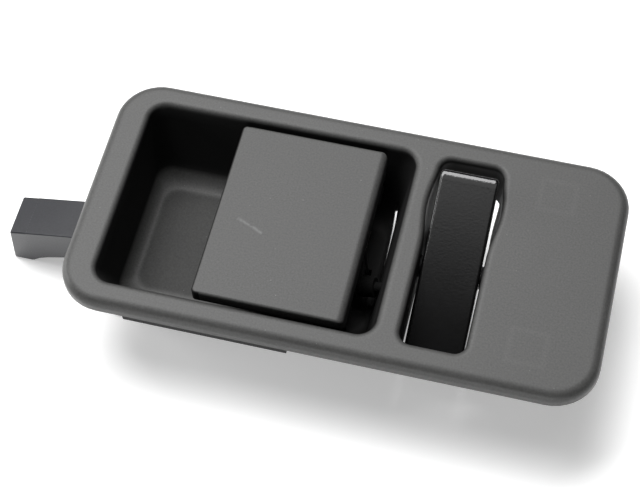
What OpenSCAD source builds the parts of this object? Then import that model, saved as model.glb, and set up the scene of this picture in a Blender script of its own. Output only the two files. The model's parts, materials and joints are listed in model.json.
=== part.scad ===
// Flush pull handle for a vehicle door: bezel with finger cup, pull paddle,
// sliding release bar and lock rocker.
// Origin: middle of the bezel, in the plane of its seat on the door panel.
// +Z points out of the panel, +X along the long side towards the rocker.

/* [Bezel] */
// Length of the bezel along X
bezel_w = 186; // [184:1:190]
// Height of the bezel along Y
bezel_h = 93; // [92:1:96]
// Corner radius of the bezel's outline
bezel_corner_r = 16; // [12:0.5:18]
// Height of the face above the seat on the door panel
face_z = 6; // [6:0.5:7]
// Radius of the outer edge of the face
edge_r = 3.6; // [2.5:0.1:4]
// Thickness of the face plate and of the rim
face_t = 3; // [2.5:0.1:3]

/* [Finger cup] */
// Left edge of the cup's mouth
cup_left = -80.5; // [-81:0.5:-79]
// Right edge of the cup's mouth
cup_right = 17; // [16.5:0.5:17.5]
// Half of the cup's mouth along Y
cup_half = 37; // [36.5:0.5:37.5]
// Depth of the cup's floor below the face
cup_depth = 31; // [30:0.5:31]
// Wall thickness of the cup
cup_wall = 2.4; // [2:0.1:2.4]
// Radius between the floor and the two long walls
floor_r = 10; // [8:0.5:10]
// Corner radius of the cup's mouth
mouth_r = 6; // [4:0.5:7]
// Radius of the mouth's edge
mouth_edge_r = 2.5; // [1.5:0.1:2.5]

/* [Paddle] */
// Left end of the paddle
paddle_left = -46.4; // [-48:0.2:-44]
// Right end of the paddle
paddle_right = 6.6; // [5:0.2:7]
// Half of the paddle along Y
paddle_half = 35; // [34:0.5:35]
// How far the paddle opens, in degrees
paddle_travel = 26; // [20:1:26]
// Distance of the hinge axis below the face
hinge_depth = 15; // [14:0.5:15.5]
// Place of the hinge axis along X
hinge_x = 1; // [0:0.5:2]
// Radius of the hinge pin
hinge_pin_r = 2.5; // [2:0.1:2.5]
// Length of the crank from the hinge axis to its pin
crank_l = 20; // [19.5:0.1:20.2]

/* [Release bar] */
// Width of the bar along Y
bar_w = 15.7; // [14:0.1:16]
// Place of the bar's centre line along Y
bar_y = -7.85; // [-8.5:0.05:-7]
// Left end of the raised arm
arm_left = -122.2; // [-123:0.1:-120]

/* [Rocker] */
// Place of the rocker's centre along X
rocker_x = 37.15; // [36.5:0.05:38]
// Length of the rocker's key
rocker_l = 68.8; // [66:0.1:69]
// Width of the rocker's key
rocker_w = 20.4; // [19.8:0.1:20.4]
// Place of the rocker's axis along Y
rocker_y = -1.5; // [-2:0.1:-1]
// Height of the rocker's axis above the seat
rocker_z = -5; // [-5.5:0.1:-4.5]
// Tilt of the rocker as it is stored, in degrees
rocker_tilt = 20; // [16:1:20]
// How far the rocker turns to its other place, in degrees
rocker_travel = 34; // [30:1:34]
// Radius of the rocker's pin
rocker_pin_r = 2; // [1.8:0.1:2]

/* [Fasteners] */
// Distance of the mounting inserts from the middle along X
insert_x = 86.4; // [86:0.1:87]
// Distance of the mounting inserts from the middle along Y
insert_y = 30; // [26:1:32]
// Radius of the inserts' bore
insert_bore_r = 1.65; // [1.5:0.05:1.8]

/* [Hidden] */
$fn = 64;

hull_fn = 32;          // facets of a circle inside a hull
fit = 0.05;            // radial clearance of pins and shanks
gap = 0.3;             // space between parts that move past each other

cup_w = cup_right - cup_left;
cup_mid_x = (cup_left + cup_right) / 2;
floor_z = face_z - cup_depth;
cup_back_z = floor_z - cup_wall;
draft_top_z = face_z - mouth_edge_r;      // the cup's walls lean in below here
long_floor_y = cup_half - 17.1;           // centre of the long floor radius
left_floor_r = 6;
left_floor_x = cup_left + 7.7;
right_floor_r = 3;
right_floor_x = cup_right - 7.8;
hinge_z = face_z - hinge_depth;
hinge_boss_r = 5.5;
hinge_boss_in = 31;                       // inner face of the hinge bosses
hinge_boss_out = 38.4;
root_z = face_z - 1;                      // bosses, walls and ribs run up into the face plate
rib_t = 1.6;                              // ribs behind the blank end of the face
rib_x = 56;
rib_y = 15;
crank_lean = paddle_travel / 2;           // the crank swings evenly to both sides of upright
crank_x = hinge_x + crank_l * sin(crank_lean);
crank_z = hinge_z - crank_l * cos(crank_lean);
crank_slot_half = 5.2;                    // half the width of the slot for the crank
crank_slot = [hinge_x - 10, 9.6];         // its two ends
drain_x = 10.7;                           // drain slot: left side of its wide far end
drain_right = right_floor_x + right_floor_r;
drain_y = [6, 28.5];                      // its two ends
drain_tip = 0.4;                          // width of its near end

paddle_mid_x = (paddle_left + paddle_right) / 2;
roll_r = 2.4;                             // rolled right edge of the paddle
small_r = 1;                              // its other three edges
cap_t = 3;                                // thickness of the paddle cap's face
core_z = 0.6;                             // underside of the core's plate
core_top = face_z - cap_t - 0.1;
paddle_screw_x = [-36, -12];
paddle_screw_y = 24;
paddle_screw_r = 1.3;
hub_in = 21;                              // hub barrels on the two sides
hub_out = 29.5;
crank_half = 4.3;                         // half of the crank's two cheeks along Y
cheek_t = 2.5;
cheek_r = 3.2;                            // half the width of a cheek, and its round end
crank_pin_r = 1.5;
pin_head_r = 4;
groove_r = 1.9;                           // ring groove of the hinge pin
bumper_r = 3.6;
bumper_shank_r = 2;

carrier_z = -33;                          // lowest plane of the handle
carrier_t = 1.4;
carrier_left = -80;
carrier_right = 22;
carrier_wall_left = -69;
carrier_wall_right = -11;
flange_z = -7;
flange_t = 2;
flange_half = 44;
carrier_screw_x = [-62, -18];
carrier_screw_y = 40.2;
carrier_screw_r = 1.2;
screw_head_r = 2.3;
screw_boss_r = 3.2;

bar_z0 = carrier_z + carrier_t + gap;     // underside of the bar
bar_z1 = cup_back_z - 0.2;                // top of the bar
bar_right = 14;
roller_r = 3.5;
web_right = -86;                          // right face of the upright web
web_t = 5;
arm_top_right = -6.7;                     // top of the arm at the web
arm_top_left = -15;                       // and at its outer end
arm_under_z = -21.6;                      // underside of the arm at the web
foot_right = -115.9;                      // right end of the foot's sole
foot_lean = 0.9;                          // the end face leans out by this much down to the sole
end_cap_l = 6.8;                          // length of the end cap from the arm's end
tenon_half = 5;                           // half the width of the arm's tenon in the end cap
tenon_l = 4.5;
bar_slot_half = 5;                        // half of the slot that the crank's roller works in
bar_pocket = 13;                          // length of each pocket that lightens the bar

well_half_w = 11.1;
well_half_l = 37;
well_wall = 2.2;
well_out = well_half_w + well_wall;
well_z = -14;
well_corner_r = 4;
ledge_z = -1.5;                           // lower end of the right bulge
scallop_y = 19;
scallop_half = 16;
scallop_out = 1.6;                        // bulge of the well's two long sides
well_edge_r = 2.2;
rocker_top = 6.2;                         // key face above the rocker's axis
rocker_end_r = 2.6;
rocker_wall = 2;
lever_r = 22;                             // from the rocker's axis to the rod eye
cam_r = 4.6;                              // from the rocker's axis to the cam's two flats
detent_x = rocker_x - 4.9;
detent_y = 14;
detent_z = rocker_z - 4.9;                // top of the detent spring
detent_t = 0.6;
detent_screw_r = 1;
lever_half = 7.4;                         // half of the lever's hub along the pin
lever_t = 3;
lever_hub_r = 4.2;                        // hub on the pin and round end at the eye
eye_r = 2.2;                              // rod eye, which the rod clip fills
rod_r = 1.5;                              // the latch's lock rod
key_plate = 4.2;                          // underside of the key's top above its axis
bumper_z = -8.5;                          // along the crank from the hinge axis

spring_wire_r = 0.6;
spring_r = 4.4;
spring_turns = 5;
spring_y0 = 3;
spring_pitch = 1.45;
spring_steps = 20;
spring_start = 86;                        // both legs leave the coil on the side of the right wall
spring_foot = 17.8;                       // leg down through the cup's floor
spring_foot_x = hinge_x + spring_r * sin(spring_start) + spring_foot * cos(spring_start);
spring_tip = 3.8;                         // leg up under the paddle's right end

tower_x = 68;
tower_y = 30;
tower_w = 14;
tower_wall = 2;
tower_z = -14;
clip_t = 0.8;                             // spring steel strip of the tower clips
clip_half = 4;                            // half its width

insert_r = 2.8;                           // body of the threaded inserts
insert_boss_r = 4.5;
insert_z = -6;                            // rear end of the insert bosses

// A bar of square section from one corner to another
module block(low, high) translate(low) cube(high - low);

// Rod along Y between two heights
module rod_y(r, y0, y1, x = 0, z = 0) translate([x, y1, z]) rotate([90, 0, 0]) cylinder(r = r, h = y1 - y0);

// Rod along X between two places
module rod_x(r, x0, x1, y = 0, z = 0) translate([x0, y, z]) rotate([0, 90, 0]) cylinder(r = r, h = x1 - x0);

// Two rods along Y, one on each side of the middle
module rods_y(r, y0, y1, x, z) for (s = [0, 1]) mirror([0, s, 0]) rod_y(r, y0, y1, x, z);

// Places something at each carrier screw, each paddle screw, each insert boss and each clip tower
module at_carrier_screws() for (x = carrier_screw_x, s = [-1, 1])
    translate([x, s * carrier_screw_y, 0]) children();
module at_paddle_screws() for (x = paddle_screw_x, s = [-1, 1])
    translate([x, s * paddle_screw_y, 0]) children();
module at_inserts() for (s = [-1, 1], t = [-1, 1])
    translate([s * insert_x, t * insert_y, insert_z]) children();
module at_towers() for (s = [-1, 1]) translate([tower_x, s * tower_y, tower_z]) children();

// Rectangle with round corners, centred
module round_rect(w, h, r) {
    square([w - 2 * r, h], center = true);
    square([w, h - 2 * r], center = true);
    for (x = [-1, 1], y = [-1, 1]) translate([x * (w / 2 - r), y * (h / 2 - r)]) circle(r);
}

// Carries a section round a rounded rectangle; the section's x is the distance outside its outline
module sweep_round_rect(w, h, r) {
    for (k = [0:3]) rotate(90 * k) {
        side = k % 2 == 0 ? h : w;
        out = k % 2 == 0 ? w : h;
        translate([out / 2 - r, 0, 0]) rotate([90, 0, 0]) linear_extrude(side - 2 * r, center = true)
            translate([r, 0]) children();
        translate([out / 2 - r, side / 2 - r, 0]) rotate_extrude(angle = 90)
            translate([r, 0]) children();
    }
}

// Section of what a rounded edge of radius r takes off an opening
module edge_cut(r) translate([0, face_z - r]) difference() {
    translate([-0.2, 0]) square([r + 0.2, r + 1]);
    translate([r, 0]) circle(r);
}

// Prism along X from a section drawn in Y and Z
module along_x(x0, x1) translate([x0, 0, 0]) rotate([90, 0, 90]) linear_extrude(x1 - x0) children();

// Prism along Y from a section drawn in X and Z
module along_y(y0, y1) translate([0, y1, 0]) rotate([90, 0, 0]) linear_extrude(y1 - y0) children();

// Cross section of the cup in Y and Z, thicker by grow
module cup_section_y(grow) hull() {
    translate([-cup_half - grow, draft_top_z]) square([2 * (cup_half + grow), mouth_edge_r + 1]);
    for (s = [-1, 1]) translate([s * long_floor_y, floor_z + floor_r])
        circle(floor_r + grow, $fn = hull_fn);
}

// Long section of the cup in X and Z, thicker by grow
module cup_section_x(grow) hull() {
    translate([cup_left - grow, draft_top_z]) square([cup_w + 2 * grow, mouth_edge_r + 1]);
    translate([left_floor_x, floor_z + left_floor_r]) circle(left_floor_r + grow, $fn = hull_fn);
    translate([right_floor_x, floor_z + right_floor_r]) circle(right_floor_r + grow, $fn = hull_fn);
}

// The cup as a solid, inside for grow = 0 and outside for grow = cup_wall
module cup_solid(grow) intersection() {
    along_x(cup_left - 5, cup_right + 5) cup_section_y(grow);
    along_y(-cup_half - 5, cup_half + 5) cup_section_x(grow);
    translate([cup_mid_x, 0, floor_z - 5]) linear_extrude(cup_depth + 10)
        round_rect(cup_w + 2 * grow, 2 * (cup_half + grow), mouth_r + grow);
}

// Outline of the rocker well, larger by grow, with a bulge on the sides given: 0 is right, 1 is left
module well_outline(grow, sides) {
    r = (scallop_half * scallop_half + scallop_out * scallop_out) / (2 * scallop_out);
    round_rect(2 * (well_half_w + grow), 2 * (well_half_l + grow), well_corner_r + grow);
    for (s = sides) mirror([s, 0]) intersection() {
        translate([well_half_w + scallop_out - r, scallop_y]) circle(r + grow, $fn = 256);
        translate([0, scallop_y - scallop_half]) square([well_half_w + 5, 2 * scallop_half]);
    }
}

// The well as a solid, larger by grow: the left bulge goes all the way down
module well_solid(grow, low, high) translate([rocker_x, 0, 0]) {
    translate([0, 0, low]) linear_extrude(high - low) well_outline(grow, [1]);
    translate([0, 0, ledge_z - grow]) linear_extrude(high - ledge_z + grow) well_outline(grow, [0, 1]);
}

module rim_section() {
    translate([-face_t, 0]) square([face_t, face_z - edge_r]);
    translate([-edge_r, face_z - edge_r]) intersection() {
        circle(edge_r);
        square(edge_r);
    }
}

module bezel() color("dimgray") difference() {
    union() {
        sweep_round_rect(bezel_w, bezel_h, bezel_corner_r) rim_section();
        translate([0, 0, face_z - face_t])
            linear_extrude(face_t)
                round_rect(bezel_w - 2 * edge_r, bezel_h - 2 * edge_r, bezel_corner_r - edge_r);
        intersection() {
            cup_solid(cup_wall);
            translate([0, 0, floor_z - 5]) linear_extrude(cup_depth + 4) square(2 * bezel_w, center = true);
        }
        well_solid(well_wall, well_z, root_z);
        rods_y(hinge_boss_r, hinge_boss_in, hinge_boss_out, hinge_x, hinge_z);
        at_carrier_screws() translate([0, 0, flange_z + flange_t])
            cylinder(r = screw_boss_r, h = root_z - flange_z - flange_t);
        at_inserts() cylinder(r = insert_boss_r, h = root_z - insert_z);
        at_towers() linear_extrude(root_z - tower_z) square(tower_w, center = true);
        for (y = [-rib_y, rib_y])
            block([rocker_x + well_half_w + 1, y - rib_t / 2, 0], [bezel_w / 2 - 1.5, y + rib_t / 2, root_z]);
        block([rib_x, -bezel_h / 2 + 1.5, 0], [rib_x + rib_t, bezel_h / 2 - 1.5, root_z]);
    }
    difference() {
        cup_solid(0);
        rods_y(hinge_boss_r, hinge_boss_in, hinge_boss_out, hinge_x, hinge_z);
    }
    translate([cup_mid_x, 0, 0]) sweep_round_rect(cup_w, 2 * cup_half, mouth_r) edge_cut(mouth_edge_r);
    difference() {
        well_solid(0, well_z - 1, face_z + 1);
        // bracket for the detent spring, from the left wall
        block([rocker_x - well_half_w - scallop_out - 0.5, detent_y - 3.5, detent_z - 3.6],
            [detent_x + 2.3, detent_y + 3.5, detent_z - detent_t]);
    }
    translate([rocker_x, 0, 0])
        sweep_round_rect(2 * well_half_w, 2 * well_half_l, well_corner_r) edge_cut(well_edge_r);
    // pin bores
    rod_y(hinge_pin_r + fit, -hinge_boss_out - 1, hinge_boss_out + 1, hinge_x, hinge_z);
    rod_x(rocker_pin_r + fit, rocker_x - well_out - 2, rocker_x + well_out + 2, rocker_y, rocker_z);
    // slot for the crank, and the tapered drain slot beside the hinge
    block([crank_slot[0], bar_y - crank_slot_half, cup_back_z - 2],
        [crank_slot[1], bar_y + crank_slot_half, floor_z + 4]);
    translate([0, 0, cup_back_z - 2]) linear_extrude(floor_z - cup_back_z + 15)
        polygon([[drain_right - drain_tip, drain_y[0]], [drain_right, drain_y[0]],
            [drain_right, drain_y[1]], [drain_x, drain_y[1]]]);
    // hole for the foot of the closing spring
    block([spring_foot_x - 2 * spring_wire_r, spring_y0 - 2 * spring_wire_r, cup_back_z - 2],
        [spring_foot_x + 2 * spring_wire_r, spring_y0 + 2 * spring_wire_r, floor_z + 2]);
    // holes for the bumper, screws, inserts and clips
    on_crank() rod_x(bumper_shank_r + fit, 8, 18, bar_y, bumper_z);
    at_carrier_screws() translate([0, 0, flange_z]) cylinder(r = carrier_screw_r + fit, h = 9.5);
    at_inserts() translate([0, 0, -1]) cylinder(r = insert_r + fit, h = 9);
    at_towers() translate([0, 0, -1]) linear_extrude(face_z - face_t - tower_z + 1)
        square(tower_w - 2 * tower_wall, center = true);
    translate([detent_x, detent_y, detent_z - 4]) cylinder(r = detent_screw_r + fit, h = 5);
}

// Places something on the paddle's hinge axis, with the crank's own direction down
module on_crank() translate([hinge_x, 0, hinge_z]) rotate([0, -crank_lean, 0]) children();

// The paddle's slab: a rolled right edge and slimmer rounds on the other three
module paddle_slab() intersection() {
    along_x(paddle_left - 1, paddle_right + 1) hull() {
        for (s = [-1, 1]) translate([s * (paddle_half - small_r), face_z - small_r])
            circle(small_r, $fn = hull_fn);
        translate([-paddle_half, 2.5]) square([2 * paddle_half, 1]);
        translate([-paddle_half + 2, -6]) square([2 * paddle_half - 4, 1]);
    }
    along_y(-paddle_half - 1, paddle_half + 1) hull() {
        translate([paddle_left + small_r, face_z - small_r]) circle(small_r, $fn = hull_fn);
        translate([paddle_right - roll_r, face_z - roll_r]) circle(roll_r, $fn = hull_fn);
        translate([paddle_left, -0.5]) square([paddle_right - paddle_left, 2]);
    }
    translate([paddle_mid_x, 0, -10]) linear_extrude(20)
        round_rect(paddle_right - paddle_left, 2 * paddle_half, 1.8);
}

module paddle_cap() color("gray") difference() {
    union() {
        // lips behind the two ends, clear of the hinge bosses and of the cup's leaning walls
        block([paddle_right - 3, -paddle_half + 3, -3.6], [paddle_right, paddle_half - 3, face_z - cap_t]);
        block([paddle_left, -paddle_half + 3, -2.5], [paddle_left + 3, paddle_half - 3, face_z - cap_t]);
        paddle_slab();
    }
    block([paddle_left + 2.4, -paddle_half + 2.6, -8],
        [paddle_right - 2.2, paddle_half - 2.6, face_z - cap_t]);
    at_paddle_screws() cylinder(r = paddle_screw_r + fit, h = face_z - 1);
}

module paddle_core() color([0.12, 0.12, 0.13]) difference() {
    union() {
        block([paddle_left + 2.8, -paddle_half + 3, core_z], [paddle_right - 2.6, paddle_half - 3, core_top]);
        for (y = [-28.4, -19, 19, 28.4]) block([paddle_left + 6, y - 0.9, -1.6], [hinge_x - 4, y + 0.9, 0.8]);
        // hub barrels with the lugs that carry them
        for (span = [[-hub_out, -hub_in], [bar_y - crank_half, bar_y + crank_half], [hub_in, hub_out]]) {
            rod_y(hinge_boss_r, span[0], span[1], hinge_x, hinge_z);
            block([hinge_x - 5.2, span[0], hinge_z], [hinge_x + 3.2, span[1], 1]);
        }
        // two cheeks of the crank
        for (y = [bar_y - crank_half, bar_y + crank_half - cheek_t]) on_crank() {
            block([-cheek_r, y, -crank_l], [cheek_r, y + cheek_t, 0]);
            rod_y(cheek_r, y, y + cheek_t, 0, -crank_l);
        }
    }
    rod_y(hinge_pin_r + fit, -hinge_boss_out, hinge_boss_out, hinge_x, hinge_z);
    on_crank() rod_y(crank_pin_r + fit, bar_y - 2 * crank_half, bar_y + 2 * crank_half, 0, -crank_l);
    at_paddle_screws() translate([0, 0, -1]) cylinder(r = paddle_screw_r + 0.25, h = 8);
}

// Pan head screw, its head below z = 0 and its shank upwards
module pan_screw(shank_r, shank_l, head_r, head_h) difference() {
    union() {
        translate([0, 0, -head_h]) cylinder(r = head_r, h = head_h);
        cylinder(r = shank_r, h = shank_l);
    }
    // crossed drive slots
    for (a = [0, 90]) rotate(a)
        block([-head_r * 0.6, -0.35, -head_h - 1], [head_r * 0.6, 0.35, -head_h + 0.9]);
}

module paddle_screws() color("silver")
    at_paddle_screws() translate([0, 0, core_z]) pan_screw(paddle_screw_r, 4.2, 2.6, 1.5);

module hinge_pin() color("silver") difference() {
    union() {
        rod_y(hinge_pin_r, -hinge_boss_out - 0.1, hinge_boss_out + 2.6, hinge_x, hinge_z);
        rod_y(pin_head_r, -hinge_boss_out - 1.5, -hinge_boss_out - 0.05, hinge_x, hinge_z);
    }
    difference() {
        rod_y(pin_head_r, hinge_boss_out + 0.4, hinge_boss_out + 1.4, hinge_x, hinge_z);
        rod_y(groove_r, hinge_boss_out, hinge_boss_out + 2, hinge_x, hinge_z);
    }
}

// Open retaining ring for a groove of radius r, flat in X and Y
module open_clip(r, out, t) difference() {
    cylinder(r = out, h = t);
    translate([0, 0, -1]) cylinder(r = r, h = t + 2);
    translate([-r * 0.8, -out - 1, -1]) cube([r * 1.6, out + 1, t + 2]);
}

module hinge_clip() color("silver")
    translate([hinge_x, hinge_boss_out + 1.3, hinge_z]) rotate([90, 0, 0])
        open_clip(groove_r + fit, 4.6, 0.8);

module hinge_washers() color([0.14, 0.14, 0.15]) difference() {
    rods_y(4.6, hub_out + 0.1, hinge_boss_in - 0.1, hinge_x, hinge_z);
    rod_y(hinge_pin_r + fit, -hinge_boss_out, hinge_boss_out, hinge_x, hinge_z);
}

// Round wire swept along a route, with a ring of points at each place
function ring(p, a, u, r, sides) = [for (i = [0:sides - 1])
    p + r * cos(360 * i / sides) * a + r * sin(360 * i / sides) * u];
module wire(points, side_a, side_u, r, sides = 8) {
    n = len(points);
    rings = [for (k = [0:n - 1]) each ring(points[k], side_a[k], side_u[k], r, sides)];
    walls = [for (k = [0:n - 2], i = [0:sides - 1]) let (j = (i + 1) % sides)
        [k * sides + i, k * sides + j, (k + 1) * sides + j, (k + 1) * sides + i]];
    polyhedron(rings, concat([[for (i = [sides - 1:-1:0]) i]], walls,
        [[for (i = [0:sides - 1]) (n - 1) * sides + i]]), convexity = 10);
}

// Closing spring: turns of wire round the hinge pin with two straight legs
module paddle_spring() color("silver") translate([hinge_x, 0, hinge_z]) {
    count = spring_turns * spring_steps;
    turn = 360 * spring_turns - 4;
    angles = [for (k = [0:count]) spring_start - turn * k / count];
    coil = [for (k = [0:count]) [spring_r * sin(angles[k]),
        spring_y0 + spring_pitch * spring_turns * k / count, spring_r * cos(angles[k])]];
    foot = coil[0] + spring_foot * [cos(spring_start), 0, -sin(spring_start)];
    tip = coil[count] + [0, 0, spring_tip];
    places = [spring_start, each angles, angles[count]];
    wire([foot, each coil, tip], [for (a = places) [sin(a), 0, cos(a)]],
        [for (a = places) [0, 1, 0]], spring_wire_r);
}

module stop_bumper() color([0.08, 0.08, 0.08]) on_crank() {
    rod_x(bumper_r, cheek_r + fit, 9.1, bar_y, bumper_z);
    rod_x(bumper_shank_r, 9, 14.5, bar_y, bumper_z);
}

module crank_pin() color("silver")
    rod_y(crank_pin_r, bar_y - crank_half - 0.5, bar_y + crank_half + 0.5, crank_x, crank_z);

module crank_roller() color([0.14, 0.14, 0.15]) difference() {
    rod_y(roller_r, bar_y - 1.7, bar_y + 1.7, crank_x, crank_z);
    rod_y(crank_pin_r + fit, bar_y - 3, bar_y + 3, crank_x, crank_z);
}

// The raised arm in X and Z: its top falls and its underside drops to the foot towards the left end
module arm_section() polygon([
    [web_right, arm_top_right], [arm_left + 0.5, arm_top_left], [arm_left - foot_lean, carrier_z],
    [foot_right, carrier_z], [foot_right + 3.3, carrier_z + 2.8], [foot_right + 6.4, carrier_z + 4.4],
    [web_right - web_t, arm_under_z], [web_right - web_t, bar_z0], [web_right, bar_z0]]);

module release_bar() color([0.22, 0.22, 0.26]) difference() {
    union() {
        intersection() {
            along_y(bar_y - bar_w / 2, bar_y + bar_w / 2) arm_section();
            block([arm_left + end_cap_l, bar_y - bar_w, carrier_z - 1], [web_right + 1, bar_y + bar_w, 0]);
        }
        along_y(bar_y - tenon_half, bar_y + tenon_half) arm_tenon();
        block([web_right - 1, bar_y - bar_w / 2, bar_z0], [bar_right, bar_y + bar_w / 2, bar_z1]);
        // gusset between the bar and the upright web
        along_y(bar_y - 1.5, bar_y + 1.5) polygon([[web_right - 1, bar_z1 - 1], [web_right - 1, -12],
            [web_right, -12], [web_right + 2.4, bar_z1], [web_right + 2.4, bar_z1 - 1]]);
    }
    block([crank_x - roller_r - gap, bar_y - bar_slot_half, bar_z0 - 1],
        [crank_x + roller_r + gap, bar_y + bar_slot_half, bar_z1 + 1]);
    // pockets that lighten the bar
    for (x = [-74:bar_pocket + 5:-14])
        block([x, bar_y - bar_slot_half, bar_z0 - 1], [x + bar_pocket, bar_y + bar_slot_half, bar_z0 + 1.6]);
}

// Part of the arm that the end cap slips over
module arm_tenon() {
    root = arm_left + end_cap_l;
    polygon([[root + 1, -19], [root - tenon_l, -20], [root - tenon_l, -29], [root + 1, -29]]);
}

module bar_end_cap() color([0.27, 0.27, 0.3]) difference() {
    intersection() {
        along_y(bar_y - bar_w / 2, bar_y + bar_w / 2) arm_section();
        block([arm_left - 5, bar_y - bar_w, carrier_z - 1], [arm_left + end_cap_l, bar_y + bar_w, 0]);
    }
    along_y(bar_y - tenon_half, bar_y + tenon_half) arm_tenon();
}

// Cradle section in Y and Z between two slopes
module cradle_section() difference() {
    polygon([[-40.3, flange_z], [-30.4, carrier_z], [30.4, carrier_z], [40.3, flange_z],
        [flange_half, flange_z], [flange_half, flange_z + flange_t], [-flange_half, flange_z + flange_t],
        [-flange_half, flange_z]]);
    polygon([[-37.9, flange_z + 3], [-37.9, flange_z], [-28.6, carrier_z + carrier_t],
        [28.6, carrier_z + carrier_t], [37.9, flange_z], [37.9, flange_z + 3]]);
}

module carrier() color([0.15, 0.15, 0.17]) difference() {
    union() {
        along_x(carrier_wall_left, carrier_wall_right) cradle_section();
        block([carrier_left, -30.4, carrier_z], [carrier_right, 30.4, carrier_z + carrier_t]);
        // channel for the bar
        for (s = [-1, 1]) {
            edge = bar_y + s * (bar_w / 2 + gap);
            block([carrier_left, min(edge, edge + s * 2), carrier_z + 1],
                [bar_right, max(edge, edge + s * 2), cup_back_z - 0.05]);
        }
        // end wall under the cup's right end
        for (span = [[-30.4, -18.6], [4, 30.4]])
            block([carrier_right - 2, span[0], carrier_z], [carrier_right, span[1], -20]);
    }
    // windows in the floor
    for (x = [-62, -38], span = [[-26, -19], [6, 26]])
        block([x, span[0], carrier_z - 1], [x + 18, span[1], -20]);
    block([crank_slot[0], bar_y - crank_slot_half, carrier_z - 1],
        [crank_slot[1], bar_y + crank_slot_half, carrier_z + 3]);
    // notch below the drain slot
    block([6, 10, carrier_z - 1], [16, 31, carrier_z + 3]);
    at_carrier_screws() translate([0, 0, flange_z - 1]) cylinder(r = carrier_screw_r + 0.3, h = 4);
    // reliefs in the side walls for the screw heads
    at_carrier_screws() translate([0, 0, flange_z - 4]) cylinder(r = screw_head_r + gap, h = 4);
}

module carrier_screws() color("silver")
    at_carrier_screws() translate([0, 0, flange_z]) pan_screw(carrier_screw_r, 8, screw_head_r, 1.3);

// Places something on the rocker's axis, tilted as stored
module on_rocker() translate([rocker_x, rocker_y, rocker_z]) rotate([rocker_tilt, 0, 0]) children();

module rocker() color([0.2, 0.2, 0.21]) on_rocker() difference() {
    half_w = rocker_w / 2;
    half_l = rocker_l / 2;
    union() {
        intersection() {
            along_x(-half_w, half_w) hull() {
                for (s = [-1, 1]) translate([s * (half_l - rocker_end_r), rocker_top - rocker_end_r])
                    circle(rocker_end_r, $fn = hull_fn);
                translate([-half_l + 0.3, 0]) square([rocker_l - 0.6, 1]);
            }
            along_y(-half_l, half_l) hull() {
                for (s = [-1, 1]) translate([s * (half_w - 1), rocker_top - 1]) circle(1, $fn = hull_fn);
                translate([-half_w, 0]) square([rocker_w, 1]);
            }
            translate([0, 0, -1]) linear_extrude(10) round_rect(rocker_w, rocker_l, 1.6);
        }
        for (s = [0, 1]) mirror([s, 0, 0]) {
            rod_x(5, half_w - rocker_wall, half_w);
            block([half_w - rocker_wall, -5, 0], [half_w, 5, 2]);
        }
    }
    block([-half_w + rocker_wall, -half_l + rocker_wall, -2],
        [half_w - rocker_wall, half_l - rocker_wall, key_plate]);
    rod_x(rocker_pin_r + fit, -well_out, well_out);
}

// Cam with one flat for each place of the rocker, in Y and Z
module cam_section() intersection() {
    circle(6);
    rotate(-rocker_tilt) translate([-10, -cam_r]) square([20, 20]);
    rotate(rocker_travel - rocker_tilt) translate([-10, -cam_r]) square([20, 20]);
    translate([-4.2, -10]) square([8.4, 10]);
}

module lock_lever() color("silver") on_rocker() difference() {
    union() {
        rod_x(lever_hub_r, -lever_half, lever_half);
        // plate under the key, and the rib that carries it
        block([-lever_half, -10, key_plate - 1.5], [lever_half, 10, key_plate - 0.1]);
        block([-lever_half, -lever_t / 2, 0], [lever_half, lever_t / 2, key_plate - 1.2]);
        block([-lever_t / 2, -lever_hub_r, -lever_r], [lever_t / 2, lever_hub_r, 0]);
        rod_x(lever_hub_r, -lever_t / 2, lever_t / 2, 0, -lever_r);
        along_x(-lever_half + 0.2, -2.6) cam_section();
    }
    rod_x(rocker_pin_r + fit, -well_out, well_out);
    rod_x(eye_r + fit, -lever_t, lever_t, 0, -lever_r);
}

module lock_rod_clip() color("ivory") on_rocker() translate([0, 0, -lever_r]) difference() {
    union() {
        rod_x(eye_r, -lever_t / 2 - 0.1, lever_t / 2 + 1.9);
        rod_x(eye_r + 1.6, lever_t / 2 + 0.1, lever_t / 2 + 1.9);
        rod_x(eye_r + 0.8, -lever_t / 2 - 1.3, -lever_t / 2 - 0.1);
    }
    rod_x(rod_r, -5, 5);
}

module rocker_pin() color("silver") difference() {
    union() {
        rod_x(rocker_pin_r, rocker_x - well_out - 1.7, rocker_x + well_out + 0.1, rocker_y, rocker_z);
        rod_x(3.2, rocker_x + well_out + 0.05, rocker_x + well_out + 1.3, rocker_y, rocker_z);
    }
    difference() {
        rod_x(3, rocker_x - well_out - 1.3, rocker_x - well_out - 0.4, rocker_y, rocker_z);
        rod_x(1.5, rocker_x - well_out - 2, rocker_x - well_out, rocker_y, rocker_z);
    }
}

module rocker_pin_clip() color("silver")
    translate([rocker_x - well_out - 1.2, rocker_y, rocker_z]) rotate([0, 90, 0]) open_clip(1.55, 3.8, 0.7);

module rocker_washers() color([0.14, 0.14, 0.15]) for (s = [-1, 1]) difference() {
    rod_x(4, rocker_x + min(s * (rocker_w / 2 + 0.15), s * (well_half_w - 0.1)),
        rocker_x + max(s * (rocker_w / 2 + 0.15), s * (well_half_w - 0.1)), rocker_y, rocker_z);
    rod_x(rocker_pin_r + fit, rocker_x - 20, rocker_x + 20, rocker_y, rocker_z);
}

// Flat strip under the lever's cam
module detent_spring() color("silver") difference() {
    union() {
        block([detent_x - 2.2, -7, detent_z - detent_t], [detent_x + 2.2, detent_y + 3.2, detent_z]);
        translate([0, -7, detent_z - detent_t]) rotate([-25, 0, 0]) mirror([0, 1, 0])
            block([detent_x - 2.2, -0.2, 0], [detent_x + 2.2, 3, detent_t]);
    }
    translate([detent_x, detent_y, detent_z - 3]) cylinder(r = 1.2, h = 6);
}

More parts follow.
